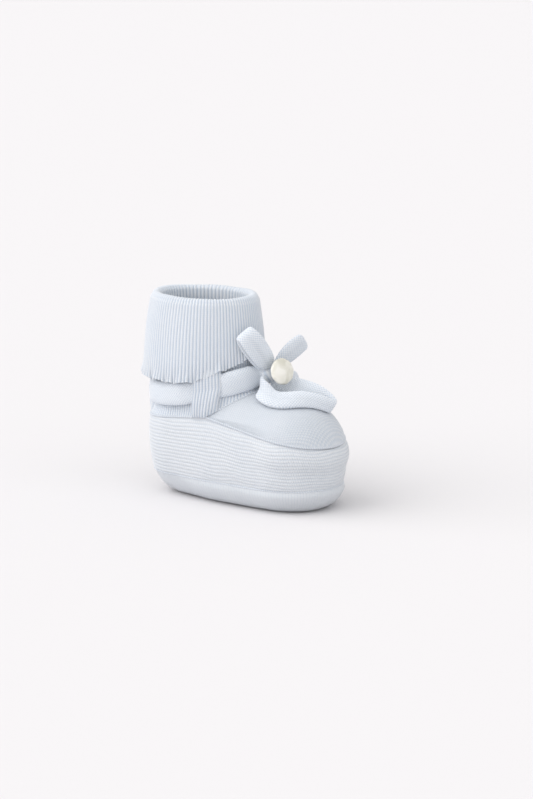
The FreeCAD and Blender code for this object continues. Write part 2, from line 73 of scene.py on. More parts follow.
camera_data = bpy.data.cameras.new("camera")
camera_data.lens = 120
camera_data.sensor_width = 36
camera = bpy.data.objects.new("camera", camera_data)
look_at = Vector((0.00245, 0.0126, 0.0434))
back_off = Vector((0.5327, -0.8204, 0.2079))
camera.location = look_at + back_off * 1.212
camera.rotation_euler = back_off.to_track_quat("Z", "Y").to_euler()
bpy.context.scene.collection.objects.link(camera)
bpy.context.scene.camera = camera
bpy.context.scene.view_settings.view_transform = "Standard"

# ---------------------------------------------------------------- knitted yarn
# Every panel is knitted from one soft pale blue cotton yarn. The stitches show as rows of
# slanted legs, and the gaps between them are painted darker and bluer than the crests: painted shade.


def math_node(tree, kind, *values):
    """A math node; each value is a plain number or an output to link to it."""
    node = tree.nodes.new("ShaderNodeMath")
    node.operation = kind
    for i, value in enumerate(values):
        if isinstance(value, (int, float)):
            node.inputs[i].default_value = value
        else:
            tree.links.new(value, node.inputs[i])
    return node.outputs[0]


stitch_group = bpy.data.node_groups.new("Knit stitches", "ShaderNodeTree")
stitch_group.interface.new_socket("Stitch", in_out="INPUT", socket_type="NodeSocketVector")
stitch_group.interface.new_socket("Place", in_out="INPUT", socket_type="NodeSocketVector")
stitch_group.interface.new_socket("Relief", in_out="INPUT", socket_type="NodeSocketFloat")
stitch_group.interface.new_socket("Legs", in_out="INPUT", socket_type="NodeSocketFloat")
stitch_group.interface.new_socket("Height", in_out="OUTPUT", socket_type="NodeSocketFloat")
stitch_group.interface.new_socket("Crest", in_out="OUTPUT", socket_type="NodeSocketFloat")
g = stitch_group
g_in = g.nodes.new("NodeGroupInput")
g_out = g.nodes.new("NodeGroupOutput")
split = g.nodes.new("ShaderNodeSeparateXYZ")
g.links.new(g_in.outputs["Stitch"], split.inputs[0])
half_wale = math_node(g, "PINGPONG", split.outputs["X"], 0.5)
slanted = math_node(g, "MULTIPLY_ADD", half_wale, -1.3, split.outputs["Y"])
row_wave = math_node(g, "COSINE", math_node(g, "MULTIPLY", slanted, 2 * np.pi))
row_rise = math_node(g, "MULTIPLY_ADD", row_wave, 0.5, 0.5)
leg_wave = math_node(g, "SINE", math_node(g, "MULTIPLY", half_wale, 2 * np.pi))
leg_rise = math_node(g, "POWER", math_node(g, "MAXIMUM", leg_wave, 0.0), 0.6)
legs = math_node(g, "MULTIPLY", math_node(g, "MULTIPLY_ADD", row_rise, 0.6, 0.4), leg_rise)
fuzz = g.nodes.new("ShaderNodeTexNoise")
fuzz.inputs["Scale"].default_value = 1900.0
fuzz.inputs["Detail"].default_value = 3.0
g.links.new(g_in.outputs["Place"], fuzz.inputs["Vector"])
stitched = math_node(g, "MULTIPLY", legs, g_in.outputs["Legs"])
height = math_node(g, "MULTIPLY_ADD", fuzz.outputs["Fac"], 0.45, stitched)
g.links.new(height, g_out.inputs["Height"])
shaded = math_node(g, "MULTIPLY_ADD", stitched, 0.45, g_in.outputs["Relief"])
speckled = math_node(g, "MULTIPLY_ADD", fuzz.outputs["Fac"], 0.3, math_node(g, "SUBTRACT", shaded, 0.15))
g.links.new(speckled, g_out.inputs["Crest"])


def knit_material(name, crest, gap, legs, bump=0.35, sheen=0.25):
    """A knitted fabric: crest and gap colours, and how strongly the stitches' legs show."""
    material = bpy.data.materials.new(name)
    material.use_nodes = True
    tree = material.node_tree
    face = tree.nodes["Principled BSDF"]
    stitch = tree.nodes.new("ShaderNodeUVMap")
    stitch.uv_map = "stitch"
    place = tree.nodes.new("ShaderNodeTexCoord")
    relief = tree.nodes.new("ShaderNodeAttribute")
    relief.attribute_name = "relief"
    group = tree.nodes.new("ShaderNodeGroup")
    group.node_tree = stitch_group
    group.inputs["Legs"].default_value = legs
    tree.links.new(stitch.outputs["UV"], group.inputs["Stitch"])
    tree.links.new(place.outputs["Object"], group.inputs["Place"])
    tree.links.new(relief.outputs["Fac"], group.inputs["Relief"])
    blotch = tree.nodes.new("ShaderNodeTexNoise")
    blotch.inputs["Scale"].default_value = 70.0
    tree.links.new(place.outputs["Object"], blotch.inputs["Vector"])
    # Where the relief mark and the stitch legs are low, the mix takes the gap colour: painted shade in the
    # hollows.
    amount = math_node(tree, "MULTIPLY_ADD", blotch.outputs["Fac"], 0.16, math_node(
        tree, "SUBTRACT", group.outputs["Crest"], 0.08))
    ramp = tree.nodes.new("ShaderNodeMix")
    ramp.data_type = "RGBA"
    ramp.inputs["A"].default_value = (*gap, 1)
    ramp.inputs["B"].default_value = (*crest, 1)
    tree.links.new(amount, ramp.inputs["Factor"])
    tree.links.new(ramp.outputs["Result"], face.inputs["Base Color"])
    lumps = tree.nodes.new("ShaderNodeBump")
    lumps.inputs["Distance"].default_value = 0.0003
    lumps.inputs["Strength"].default_value = bump
    tree.links.new(group.outputs["Height"], lumps.inputs["Height"])
    tree.links.new(lumps.outputs["Normal"], face.inputs["Normal"])
    face.inputs["Roughness"].default_value = 0.92
    face.inputs["Specular IOR Level"].default_value = 0.15
    face.inputs["Sheen Weight"].default_value = sheen
    face.inputs["Sheen Roughness"].default_value = 0.6
    face.inputs["Sheen Tint"].default_value = (0.97, 0.98, 1.0, 1)
    return material


def outward(grid, closed_u, closed_v):
    """Unit normals of a grid: the cross product of its steps along u and along v."""
    step = []
    for axis, closed in ((0, closed_u), (1, closed_v)):
        if closed:
            step.append(np.roll(grid, -1, axis) - np.roll(grid, 1, axis))
        else:
            step.append(np.gradient(grid, axis=axis))
    normal = np.cross(step[0], step[1])
    return normal / np.maximum(np.linalg.norm(normal, axis=-1, keepdims=True), 1e-9)


def knit_mesh(name, patches, material):
    """One object from patches of (grid, stitch, relief, closed_u, closed_v); each grid is in
    millimetres, and stitch counts the wales along u and the courses along v. A patch whose
    faces would enclose a negative volume is wound the other way, so that they face outward."""
    points, faces, corners, reliefs = [], [], [], []
    start = 0
    for grid, stitch, relief, closed_u, closed_v in patches:
        nu, nv = grid.shape[:2]
        iu = np.arange(nu if closed_u else nu - 1)
        iv = np.arange(nv if closed_v else nv - 1)
        u0, v0 = (a.ravel() for a in np.meshgrid(iu, iv, indexing="ij"))
        u1, v1 = u0 + 1, v0 + 1
        ring = [(u0, v0), (u1, v0), (u1, v1), (u0, v1)]
        first, second, third = (grid[u % nu, v % nv] - grid.mean((0, 1)) for u, v in ring[:3])
        if (first * np.cross(second, third)).sum() < 0:
            ring.reverse()
        faces.append(np.stack([start + (u % nu) * nv + v % nv for u, v in ring], axis=1))
        wales, courses = stitch
        corners.append(np.stack([
            np.stack([wales[u], courses[v]], axis=-1) for u, v in ring], axis=1).reshape(-1, 2))
        points.append(grid.reshape(-1, 3))
        reliefs.append(np.broadcast_to(relief, (nu, nv)).ravel())
        start += nu * nv
    points = np.concatenate(points) * 0.001
    faces = np.concatenate(faces)
    mesh = bpy.data.meshes.new(name)
    mesh.vertices.add(len(points))
    mesh.vertices.foreach_set("co", points.astype(np.float32).ravel())
    mesh.loops.add(faces.size)
    mesh.loops.foreach_set("vertex_index", faces.astype(np.int32).ravel())
    mesh.polygons.add(len(faces))
    mesh.polygons.foreach_set("loop_start", np.arange(0, faces.size, 4, dtype=np.int32))
    mesh.update(calc_edges=True)
    uv = mesh.uv_layers.new(name="stitch")
    uv.data.foreach_set("uv", np.concatenate(corners).astype(np.float32).ravel())
    # The relief mark sets how much of the painted gap shade each place takes.
    mark = mesh.attributes.new("relief", "FLOAT", "POINT")
    mark.data.foreach_set("value", np.concatenate(reliefs).astype(np.float32))
    mesh.validate()
    mesh.shade_smooth()
    mesh.materials.append(material)
    made = bpy.data.objects.new(name, mesh)
    bpy.context.scene.collection.objects.link(made)
    return made


def soft_noise(x, y, z, seed):
    """Slow, smooth unevenness between about -1 and 1: a sum of five crossed sine waves."""
    waves = np.random.default_rng(seed).normal(size=(5, 4))
    total = 0
    for wx, wy, wz, shift in waves:
        total = total + np.sin(x * wx * 0.16 + y * wy * 0.16 + z * wz * 0.16 + shift * 3)
    return total / 5


COURSE = 0.95
# The crest colour is the yarn's own; the gap colour below it is painted shade for the hollows between
# stitches.
CREST = (0.715, 0.722, 0.735)
GAP_SHADE = (0.40, 0.465, 0.55)

# ---------------------------------------------------------------- sole
# A smooth knitted panel that turns up all round the foot, 11 mm at its linked edge.
# Its outline is a heel round of 22 mm and a toe round of 25 mm with straight sides, and its
# wales stand upright all round the edge.

HEEL_ROUND, TOE_ROUND = 22.0, 25.0
HEEL_X, TOE_X = -28.0, 25.0
lean = np.arcsin((TOE_ROUND - HEEL_ROUND) / (TOE_X - HEEL_X))
heel_arc = HEEL_ROUND * (np.pi / 2 - lean)
toe_arc = TOE_ROUND * (np.pi + 2 * lean)
side_run = (TOE_X - HEEL_X) * np.cos(lean)
GIRTH = 2 * heel_arc + 2 * side_run + toe_arc
outline_s = np.cumsum([0, heel_arc, side_run, toe_arc, side_run, heel_arc])
outline_turn = np.array([np.pi, 1.5 * np.pi - lean, 1.5 * np.pi - lean,
                         2.5 * np.pi + lean, 2.5 * np.pi + lean, 3 * np.pi])
outline_x = np.array([HEEL_X, HEEL_X, TOE_X, TOE_X, HEEL_X, HEEL_X])
outline_r = np.array([HEEL_ROUND, HEEL_ROUND, TOE_ROUND, TOE_ROUND, HEEL_ROUND, HEEL_ROUND])


def round_foot(s, inset):
    """x and y at distance s round the foot from the heel: a circle's edge whose centre slides
    from heel to toe and back, its radius less the inset."""
    turn = np.interp(s, outline_s, outline_turn)
    radius = np.interp(s, outline_s, outline_r) - inset
    return np.interp(s, outline_s, outline_x) + radius * np.cos(turn), radius * np.sin(turn)


def heel_to_toe(x, heel, side, toe):
    """Blends three profiles along the foot: heel at its back, side at the middle, toe in front."""
    back = np.clip((-x - 5) / 30, 0, 1)
    front = np.clip((x - 12) / 24, 0, 1)
    back, front = (k * k * (3 - 2 * k) for k in (back, front))
    return heel * back + side * (1 - back - front) + toe * front


SOLE_TOP = 11.0
SOLE_WALES = 176
s = np.linspace(0, GIRTH, SOLE_WALES * 5 + 1)[:-1]
edge_x, _ = round_foot(s, 0.0)
edge_r = np.interp(s, outline_s, outline_r)
knots = np.array([0.0, 0.16, 0.36, 0.56, 0.74, 0.88, 1.0])
sole_z = np.array([SOLE_TOP, 8.7, 5.4, 2.6, 0.8, 0.1, 0.0])
sole_in = {"heel": [2.9, 4.0, 6.2, 8.9, 12.0, 15.0, 18.0],
           "side": [1.3, 1.2, 2.6, 5.0, 8.0, 11.0, 14.0],
           "toe": [2.5, 1.9, 3.5, 6.2, 9.2, 12.0, 15.0]}
curl = np.linspace(0, 1, 44)


def smooth_through(t, at, values):
    """A smooth curve through the values: cubic steps with averaged slopes."""
    values = np.asarray(values, float)
    slope = np.gradient(values, at)
    i = np.clip(np.searchsorted(at, t, side="right") - 1, 0, len(at) - 2)
    gap = at[i + 1] - at[i]
    k = (t - at[i]) / gap
    k2, k3 = k * k, k * k * k
    return ((2 * k3 - 3 * k2 + 1) * values[i] + (k3 - 2 * k2 + k) * gap * slope[i]
            + (3 * k2 - 2 * k3) * values[i + 1] + (k3 - k2) * gap * slope[i + 1])


drawn = heel_to_toe(edge_x[:, None], *(smooth_through(curl, knots, sole_in[k])[None, :]
                                       for k in ("heel", "side", "toe")))
rim_z = np.maximum(smooth_through(curl, knots, sole_z), 0.0)
flat = np.linspace(0, 1, 14)[1:]
last_in = drawn[:, -1:]
drawn = np.concatenate([drawn, last_in + (edge_r[:, None] - last_in) * flat[None, :]], axis=1)
rim_z = np.concatenate([rim_z, np.zeros(13)])
x, y = round_foot(s[:, None], drawn)
z = np.broadcast_to(rim_z[None, :], x.shape)
sole_outer = np.stack([x, y, z], axis=-1)
puff = 0.35 * soft_noise(x, y, z, 3) * np.clip(z / 4, 0, 1) * np.clip((SOLE_TOP - z) / 3, 0, 1)
wale = s[:, None] / GIRTH * SOLE_WALES
half_wale = np.abs(wale - np.round(wale))
course = np.concatenate([curl * 21, 21 + flat * 18])[None, :]
sole_relief = np.sin(np.pi * np.clip(half_wale * 2, 0, 1)) ** 0.6 * (
    0.65 + 0.35 * np.cos(2 * np.pi * (course - 1.3 * half_wale)))
worn = np.clip((edge_r[:, None] - drawn) / 8, 0, 1)
puff += (0.3 * sole_relief - 0.15) * worn
sole_outer += puff[..., None] * -outward(sole_outer, True, False)
inner_in = np.maximum(drawn[:, ::-4] + 2.2 * np.clip((edge_r[:, None] - drawn[:, ::-4]) / 4, 0, 1), 0)
xi, yi = round_foot(s[:, None], np.minimum(inner_in, edge_r[:, None]))
zi = np.broadcast_to(np.maximum(rim_z[::-4] * (SOLE_TOP - 2.2) / SOLE_TOP + 2.2, 0)[None, :], xi.shape)
sole_inner = np.stack([xi, yi, zi], axis=-1)
sole_grid = np.concatenate([sole_outer, sole_inner], axis=1)[:, ::-1]
sole_marks = np.concatenate([0.42 + 0.36 * sole_relief, np.full(inner_in.shape, 0.5)], axis=1)[:, ::-1]
sole_wales = np.linspace(0, SOLE_WALES, len(s) + 1)
sole_courses = np.linspace(0, 2 * 34 / COURSE, sole_grid.shape[1] + 1)[::-1]
sole_knit = knit_material("sole_knit", CREST, GAP_SHADE, 0.2)
sole = knit_mesh("sole_panel", [(sole_grid, (sole_wales, sole_courses), sole_marks, True, True)], sole_knit)
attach(sole, "bootie")
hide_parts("sole")

# ---------------------------------------------------------------- side wall
# A ridged band linked to the sole: rows of purl bumps 1.7 mm apart run round the foot.
# It is 24 mm high at the heel, highest beside the ankle and lowest at the toe.

PEAK_X, PEAK_Z = -8.0, 40.0


def wall_top(x):
    """Height of the wall's upper edge: it climbs to the peak and falls towards the toe."""
    back = 35.5 + 4.5 * (x + 50) / 42
    front = PEAK_Z - 10.5 * (x - PEAK_X) / 58
    return np.minimum(back, front)


STITCHES_ROUND = 232
s = np.linspace(0, GIRTH, STITCHES_ROUND * 4 + 1)[:-1]
edge_x, _ = round_foot(s, 0.0)
top_z = wall_top(edge_x)[:, None]
rise = np.linspace(0, 1, 94)[None, :]
at = np.array([0.0, 0.18, 0.4, 0.68, 0.88, 1.0])
wall_in = heel_to_toe(edge_x[:, None], *(smooth_through(rise[0], at, v)[None, :] for v in (
    [2.9, 1.9, 1.1, 0.8, 0.9, 1.4], [1.3, 0.2, -0.3, -0.2, 0.5, 1.6], [2.5, 1.6, 1.1, -0.2, 0.6, 2.0])))
z = SOLE_TOP + 0.2 + (top_z - SOLE_TOP - 0.4) * rise
x, y = round_foot(s[:, None], wall_in)
wall_face = np.stack([x, y, z], axis=-1)
row = (z - SOLE_TOP) / (1.62 * (0.6 + 0.4 * (top_z - SOLE_TOP) / 25)) + 0.45 * soft_noise(x, y, z, 8)
wale = s[:, None] / GIRTH * STITCHES_ROUND
ridge = np.abs(np.sin(np.pi * row)) ** 0.8
bump = 0.5 + 0.5 * np.cos(2 * np.pi * (wale + 0.5 * (np.floor(row) % 2)))
wall_relief = ridge * (0.3 + 0.7 * bump)
seam_fade = np.clip(rise / 0.03, 0, 1) * np.clip((1 - rise) / 0.03, 0, 1)
lumps = 0.45 * soft_noise(x, y, z, 5) * seam_fade
wall_face += (0.42 * wall_relief * seam_fade + lumps - 0.2)[..., None] * outward(wall_face, True, False)
lining_rise = np.linspace(1, 0, 12)[None, :]
lining_in = 2.4 + 1.2 * np.ones_like(lining_rise)
x, y = round_foot(s[:, None], np.broadcast_to(lining_in, (len(s), 12)))
lining = np.stack([x, y, SOLE_TOP + (top_z - SOLE_TOP) * lining_rise], axis=-1)
wall_grid = np.concatenate([wall_face, lining], axis=1)
wall_marks = np.concatenate([0.38 + 0.5 * wall_relief, np.full((len(s), 12), 0.5)], axis=1)
wall_courses = np.linspace(0, 30, wall_grid.shape[1] + 1)
wall_knit = knit_material("ridge_knit", CREST, GAP_SHADE, 0.12)
side_wall = knit_mesh("side_wall_panel", [
    (wall_grid, (np.linspace(0, STITCHES_ROUND, len(s) + 1), wall_courses), wall_marks, True, True),
], wall_knit)
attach(side_wall, "bootie")
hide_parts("side_wall")

# ---------------------------------------------------------------- vamp
# A smooth panel domed over the toes, its wales running along the foot. It is linked to the
# side wall round the toe and to the ankle along the sloping instep.

VAMP_IN = 1.9
INSTEP_SLOPE = np.tan(np.radians(33))


def vamp_height(x, y):
    """The dome's height: from the wall's edge it rises with the share of the way in, as
    (1 - share to the power 2.4) to the power 0.72, up to a crest that falls towards the toe."""
    centre = np.clip(x, HEEL_X, TOE_X)
    reach = np.interp(centre, [HEEL_X, TOE_X], [HEEL_ROUND, TOE_ROUND]) - VAMP_IN
    off = np.hypot(x - centre, y)
    share = np.clip(off / reach, 0, 1)
    ahead = np.where(x > TOE_X, (x - centre) / np.maximum(off, 1e-6) * reach, 0)
    edge = wall_top(centre + ahead)
    crest = np.interp(centre, [-10, 8, 16, 25], [50.2, 50.6, 49.6, 47.4])
    return edge + (crest - edge) * (1 - share ** 2.4) ** 0.72


def instep_x(y):
    """Where the dome's column at y meets the sloping instep plane, found by halving."""
    low = np.full_like(y, PEAK_X)
    high = np.full_like(y, 24.0)
    for _ in range(40):
        mid = (low + high) / 2
        above = vamp_height(mid, y) > PEAK_Z + INSTEP_SLOPE * (mid - PEAK_X)
        low, high = np.where(above, mid, low), np.where(above, high, mid)
    return (low + high) / 2


WALES_OVER = 62
span = TOE_ROUND - VAMP_IN
fan = np.linspace(-1, 1, WALES_OVER * 5 + 1)
y_line = span * np.sin(fan * np.pi / 2) * 0.9995
x_front = TOE_X + np.sqrt(np.maximum(span ** 2 - y_line ** 2, 0))
side_reach = np.clip((np.abs(y_line) - (HEEL_ROUND - VAMP_IN)) / (TOE_ROUND - HEEL_ROUND), 0, 1)
x_side = HEEL_X + side_reach * (TOE_X - HEEL_X)
x_back = np.maximum(instep_x(y_line), x_side)
march = (1 - np.cos(np.linspace(0, 1, 210) * np.pi)) / 2
x = x_back[:, None] + (x_front - x_back)[:, None] * march[None, :]
y = np.broadcast_to(y_line[:, None], x.shape)
vamp_face = np.stack([x, y, vamp_height(x, y)], axis=-1)
vamp_normal = outward(vamp_face, False, False)
vamp_normal *= np.sign(vamp_normal[..., 2:3] + 1e-9)
along = x / COURSE
wale_at = fan * WALES_OVER / 2
leg = np.abs(((wale_at[:, None] + 0.5) % 1) - 0.5) * 2
course_rise = 0.55 + 0.45 * np.cos(2 * np.pi * (along - 0.65 * leg))
vamp_relief = course_rise * np.sin(np.pi * np.clip(leg, 0.02, 0.98)) ** 0.5
inland = np.clip(np.minimum(march, 1 - march) / 0.02, 0, 1)[None, :]
near_edge = inland * np.cos(fan * np.pi / 2)[:, None] ** 0.3
rise = (0.28 * vamp_relief + 0.4 * soft_noise(x, y, 0 * x, 8)) * near_edge
vamp_face = vamp_face + rise[..., None] * vamp_normal
lining = (vamp_face - 2.2 * vamp_normal)[:, ::-1][:, ::6]
vamp_grid = np.concatenate([vamp_face, lining], axis=1)
vamp_marks = np.concatenate([0.2 + 0.65 * vamp_relief, np.full(lining.shape[:2], 0.5)], axis=1)
vamp_knit = knit_material("vamp_knit", CREST, GAP_SHADE, 0.1)
vamp = knit_mesh("vamp_panel", [(vamp_grid, (wale_at, np.linspace(0, 60, vamp_grid.shape[1] + 1)),
                                 vamp_marks, False, True)], vamp_knit)
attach(vamp, "bootie")
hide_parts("vamp")

# ---------------------------------------------------------------- ankle band
# Ribbed tube linked to the side wall and the instep, drawn in by the tie. Three ribbed
# bridges, one behind and one on each side, cross over the tie and keep it in place.

ANKLE_X = -19.5
WAIST = (ANKLE_X - 0.6, 25.2, 18.8)
UNDER_CUFF = (-20.5, 25.0, 19.5)


def ankle_edge(angle):
    """The band's lower edge by angle about the ankle: the wall's top, then the instep line."""
    s = np.linspace(0, GIRTH, 1200)
    ex, ey = round_foot(s, 1.5)
    keep = ex < PEAK_X
    back = np.stack([ex, ey, wall_top(ex)], axis=-1)[keep]
    ys = np.linspace(-1, 1, 400) * 21.0
    xs = np.maximum(instep_x(ys), PEAK_X)
    front = np.stack([xs, ys, vamp_height(xs, ys)], axis=-1)
    ring = np.concatenate([back, front])
    ring_angle = np.arctan2(ring[:, 1], ring[:, 0] - ANKLE_X)
    order = np.argsort(ring_angle)
    return np.stack([np.interp(angle, ring_angle[order], ring[order, i], period=2 * np.pi)
                     for i in range(3)], axis=-1)


def oval(angle, centre, reach, half):
    """A point of an oval by angle: centre plus reach and half width times cosine and sine."""
    return centre + reach * np.cos(angle), half * np.sin(angle)


def tie_level(x):
    """Height of the tie's middle line: level behind, climbing ever faster towards the bow."""
    return 47.3 + 10.2 * np.clip((x + 46) / 53, 0, 1.2) ** 1.9


ANKLE_RIBS = 104
angle = np.linspace(0, 2 * np.pi, ANKLE_RIBS * 6 + 1)[:-1]
low = ankle_edge(angle)
waist_x, waist_y = oval(angle, *WAIST)
waist = np.stack([waist_x, waist_y, tie_level(waist_x)], axis=-1)
high_x, high_y = oval(angle, *UNDER_CUFF)
high = np.stack([high_x, high_y, np.full_like(high_x, 69.0)], axis=-1)
climb = np.linspace(0, 1, 46)[None, :, None]
lower_part = low[:, None] + (waist - low)[:, None] * climb
inward = outward(np.stack([waist, waist + [0, 0, 1]], axis=1), True, False)[:, :1]
lower_part = lower_part + inward * (-1.2 * np.sin(np.pi * climb[..., 0]) * (1 - climb[..., 0]))[..., None]
upper_part = waist[:, None] + (high - waist)[:, None] * climb[:, 1:][:, ::2]
ankle_face = np.concatenate([lower_part, upper_part], axis=1)
rib = np.abs(np.cos(angle * ANKLE_RIBS / 2)) ** 0.8
courses = np.cumsum(np.concatenate([[0], np.linalg.norm(np.diff(ankle_face, axis=1), axis=-1).mean(0)]))
ankle_relief = rib[:, None] * (0.85 + 0.15 * np.cos(2 * np.pi * courses / COURSE))[None, :]
ankle_normal = outward(ankle_face, True, False)
ankle_face = ankle_face + (0.5 * ankle_relief - 0.1)[..., None] * ankle_normal
lining = (ankle_face - 2.4 * ankle_normal)[:, ::-1][:, ::5]
ankle_grid = np.concatenate([ankle_face, lining], axis=1)
ankle_marks = np.concatenate([0.15 + 0.7 * ankle_relief, np.full(lining.shape[:2], 0.4)], axis=1)
ankle_stitch = (np.linspace(0, ANKLE_RIBS, len(angle) + 1), np.linspace(0, 50, ankle_grid.shape[1] + 1))
ankle_patches = [(ankle_grid, ankle_stitch, ankle_marks, True, True)]


def bridge_patch(middle, half_width, ribs):
    """A ribbed strip over the tie: it leaves the band at the seam, bulges out round the tape
    and goes in under the cuff; its long edges turn in towards the band."""
    u = np.linspace(-1, 1, ribs * 6 + 1)
    v = np.linspace(0, 1, 60)
    spread = middle + u * half_width
    foot = ankle_edge(spread)
    tx, ty = oval(spread, *WAIST)
    tie = np.stack([tx, ty, tie_level(tx)], axis=-1)
    hx, hy = oval(spread, *UNDER_CUFF)
    head = np.stack([hx, hy, np.full_like(hx, 68.0)], axis=-1)
    path = np.where(v[None, :, None] < 0.5,
                    foot[:, None] + (tie - foot)[:, None] * (v * 2)[None, :, None],
                    tie[:, None] + (head - tie)[:, None] * (v * 2 - 1)[None, :, None])
    face_out = np.stack([np.cos(spread) / WAIST[1], np.sin(spread) / WAIST[2], 0 * spread], axis=-1)
    face_out /= np.linalg.norm(face_out, axis=-1, keepdims=True)
    over = 4.0 * np.clip(np.sin(np.pi * np.clip(v * 1.06, 0, 1)), 0, 1) ** 0.7
    edge = np.sqrt(np.clip(1 - np.abs(u) ** 6, 0, 1))
    rib_wave = np.abs(np.cos(np.pi * (u + 1) / 2 * ribs + np.pi / 2)) ** 0.8
    course = 0.85 + 0.15 * np.cos(2 * np.pi * v * 28 / COURSE)
    relief = rib_wave[:, None] * course[None, :]
    tuck = 3.2 * np.sin(np.pi * np.clip(v / 0.44, 0, 1))[None, :] * (1 - edge[:, None])
    lift = 0.25 + over[None, :] * (0.35 + 0.65 * edge[:, None]) + 0.55 * relief - tuck
    top = path + lift[..., None] * face_out[:, None]
    depth = lift - 2.0 * edge[:, None] * np.clip(over[None, :] / 2, 0, 1) - 0.4
    under = path + depth[..., None] * face_out[:, None]
    grid = np.concatenate([top, under[:, ::-1]], axis=1)
    # The bridge's underside gets a low fixed mark: painted shade under the bridge.
    marks = np.concatenate([0.15 + 0.7 * relief, 0 * relief + 0.2], axis=1)
    return grid, (np.linspace(0, ribs, len(u)), np.linspace(0, 60, grid.shape[1] + 1)), marks, False, True


for middle, half_width, ribs in ((-1.13, 0.27, 10), (1.13, 0.27, 10), (np.pi, 0.27, 10)):
    ankle_patches.append(bridge_patch(middle, half_width, ribs))
# The gap colour is painted shade in the hollows between the ribs.
rib_knit = knit_material("rib_knit", CREST, (0.37, 0.46, 0.58), 0.1)
ankle = knit_mesh("ankle_band_panel", ankle_patches, rib_knit)
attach(ankle, "bootie")
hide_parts("ankle_band")

# ---------------------------------------------------------------- leg tube and cuff
# The leg is a wide-ribbed tube; its upper half is turned down over itself, so the cuff shows
# the fabric's fine ribbed side, a rolled rim at the mouth and a frilled hem.

CUFF_RIBS = 108
angle = np.linspace(0, 2 * np.pi, CUFF_RIBS * 6 + 1)[:-1]
leg_z = np.linspace(50, 84, 40)
leg_reach = np.interp(leg_z, [50, 66, 84], [23.6, 22.6, 22.8])
x, y = oval(angle[:, None], -21.5, leg_reach[None, :], (leg_reach - 5.0)[None, :])
leg_face = np.stack([x, y, np.broadcast_to(leg_z, x.shape)], axis=-1)
leg_rib = np.abs(np.cos(angle * 36)) ** 0.7
leg_out = leg_face + outward(leg_face, True, False) * 1.9
leg_in = leg_face - outward(leg_face, True, False) * (0.8 * leg_rib[:, None, None])
leg_grid = np.concatenate([leg_out, leg_in[:, ::-1]], axis=1)
leg_marks = np.concatenate([
    np.full((len(angle), 40), 0.5),
    np.broadcast_to(0.15 + 0.7 * leg_rib[:, None], (len(angle), 40))], axis=1)
# The leg's crest and gap colours are painted darker and bluer than the panels' yarn: painted shade deep
# inside the mouth.
leg_knit_shaded = knit_material("leg_rib", (0.70, 0.765, 0.83), (0.26, 0.41, 0.62), 0.3)
leg_stitch = (np.linspace(0, 72, len(angle) // 2 + 1), np.linspace(0, 70, 81))
leg = knit_mesh("leg_tube_panel", [(leg_grid[::2], leg_stitch, leg_marks[::2], True, True)], leg_knit_shaded)
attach(leg, "bootie")
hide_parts("leg_tube")

RIM_Z = 92.5
RIM_ROLL = 2.6
MOUTH_X = -22.6


def hem_z(x):
    """Height of the hem by x: level behind, then it climbs over the instep."""
    return 54.6 + 10.8 * np.clip((x + 20) / 27, 0, 1) ** 1.6


hem_wave = (np.sin(angle * 13 + 0.7 + 0.8 * np.sin(angle * 3)) + 0.8 * np.sin(angle * 23 + 2.1)
            + 0.6 * np.sin(angle * 37)) / 2.2
hem_x, _ = oval(angle, -22.3, 30.0, 24.4)
hem_height = hem_z(hem_x) + 0.9 * hem_wave
fall = np.linspace(0, 1, 92)
skirt_z = (RIM_Z - RIM_ROLL) + (hem_height[:, None] - (RIM_Z - RIM_ROLL)) * fall[None, :]
depth = (RIM_Z - skirt_z) / 40
reach = 25.3 + 3.9 * np.sin(np.clip(depth, 0, 1) * np.pi / 2) ** 0.8
centre = MOUTH_X - 0.6 * np.clip(depth, 0, 1)
frill = np.clip((fall - 0.82) / 0.18, 0, 1)[None, :] ** 1.6
push = 1.2 * hem_wave[:, None] * frill + 0.2 * frill
x, y = oval(angle[:, None], centre, reach + push, reach - 5.1 + push)
skirt = np.stack([x, y, skirt_z], axis=-1)
roll = np.linspace(0, np.pi, 14)[:-1]
rolled = 2.0 * -np.cos(roll)[None, :]
rx, ry = oval(angle[:, None], MOUTH_X, 23.5 + rolled, 18.4 + rolled)
rim = np.stack([rx, ry, np.broadcast_to(RIM_Z - RIM_ROLL + RIM_ROLL * np.sin(roll), rx.shape)], axis=-1)
down_z = np.linspace(74, RIM_Z - RIM_ROLL, 22)[:-1]
dx, dy = oval(angle[:, None], MOUTH_X, np.full((1, 21), 21.5), np.full((1, 21), 16.4))
mouth = np.stack([np.broadcast_to(dx, (len(angle), 21)), np.broadcast_to(dy, (len(angle), 21)),
                  np.broadcast_to(down_z, (len(angle), 21))], axis=-1)
cuff_face = np.concatenate([mouth, rim, skirt], axis=1)
cuff_normal = -outward(cuff_face, True, False)
length_on = np.cumsum(np.concatenate([[0], np.linalg.norm(np.diff(cuff_face, axis=1), axis=-1).mean(0)]))
fine_rib = np.abs(np.cos(angle * CUFF_RIBS / 2)) ** 0.8
wide_rib = np.abs(np.cos(angle * 36)) ** 0.7
inside = np.clip((30 - np.arange(cuff_face.shape[1])) / 8, 0, 1)[None, :]
rib_here = fine_rib[:, None] * (1 - inside) + wide_rib[:, None] * inside
deep = np.concatenate([np.zeros(34), np.clip((fall - 0.72) / 0.28, 0, 1)])[None, :]
cuff_relief = rib_here * (0.88 + 0.12 * np.cos(2 * np.pi * length_on / 0.9))[None, :]
amount = 0.42 + 0.35 * inside + 0.55 * deep
wander = 0.5 * soft_noise(cuff_face[..., 0], cuff_face[..., 1], cuff_face[..., 2], 12)
cuff_face = cuff_face + (amount * cuff_relief + wander)[..., None] * cuff_normal
back_side = (skirt + (wander[:, 34:] - 1.7)[..., None] * cuff_normal[:, 34:])[:, ::-1][:, ::7]
cuff_grid = np.concatenate([cuff_face, back_side], axis=1)
